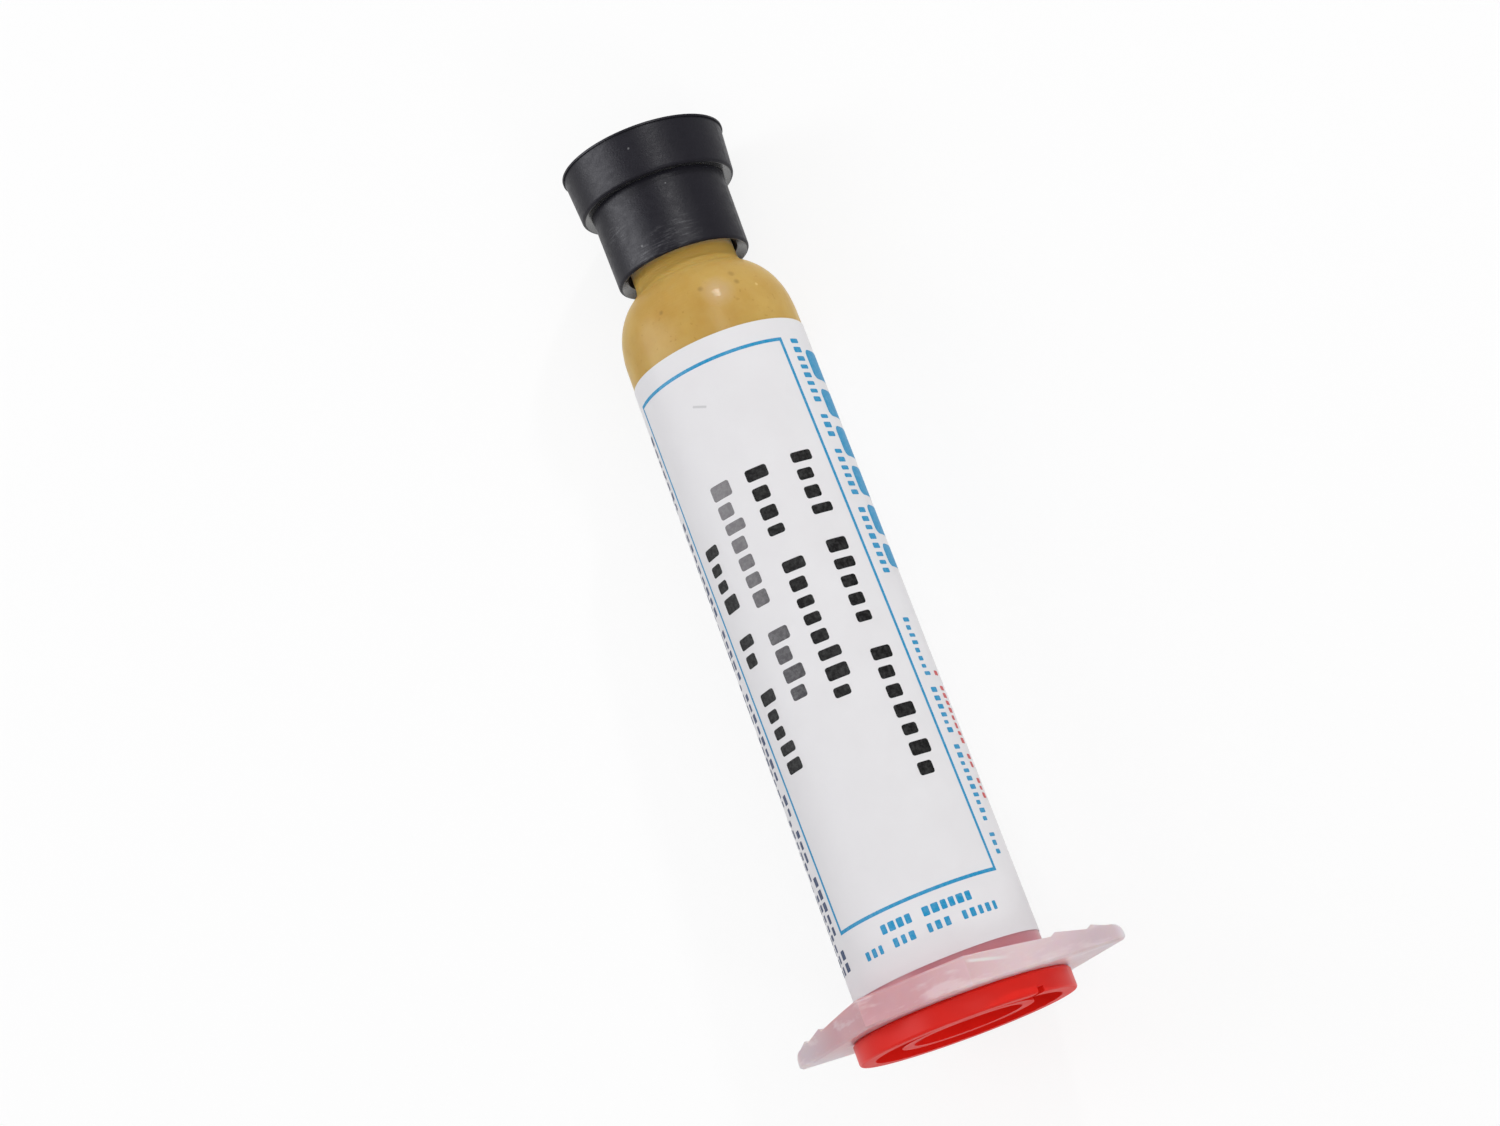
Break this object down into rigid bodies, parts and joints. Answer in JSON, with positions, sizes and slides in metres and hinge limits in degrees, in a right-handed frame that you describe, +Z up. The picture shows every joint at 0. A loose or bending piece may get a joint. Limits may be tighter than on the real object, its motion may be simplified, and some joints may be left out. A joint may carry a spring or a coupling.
{
  "type": "flux syringe",
  "caption": "Translucent dispensing barrel filled with amber flux paste, with a wrapped label, a six-sided finger flange, a black rubber tip cap and a red end cap.",
  "frame": {"origin": "on the bench, under the middle of the overall box, with the syringe lying on one flat of its flange and on its tip cap", "axes": "+Y runs along the syringe to its tip, level with the bench, +Z up, X along the flange's long way"},
  "size_m": [0.0344, 0.0934, 0.0247],
  "materials": {
    "barrel_plastic": "translucent moulded polypropylene, satin",
    "label_paper": "smooth, printed",
    "flux": "smooth tacky paste",
    "piston_plastic": "smooth moulded polyethylene",
    "cap_rubber": "satin moulded rubber with light scuffs",
    "end_cap_plastic": "glossy moulded polyethylene"
  },
  "bodies": {
    "barrel": {"barrel": "barrel_plastic", "label": "label_paper", "flux_paste": "flux"},
    "piston": {"piston": "piston_plastic"},
    "tip_cap": {"tip_cap": "cap_rubber"},
    "end_cap": {"end_cap": "end_cap_plastic"}
  },
  "joints": [
    {"name": "piston_stroke", "type": "slide", "parent": "barrel", "child": "piston", "axis": [0, 0.9991, -0.0435], "range_m": [0, 0.0496], "deforming": ["flux_paste"]},
    {"name": "tip_cap_pull", "type": "slide", "parent": "barrel", "child": "tip_cap", "axis": [0, 0.9991, -0.0435], "range_m": [0, 0.015]},
    {"name": "end_cap_pull", "type": "slide", "parent": "barrel", "child": "end_cap", "axis": [0, -0.9991, 0.0435], "range_m": [0, 0.015]}
  ]
}
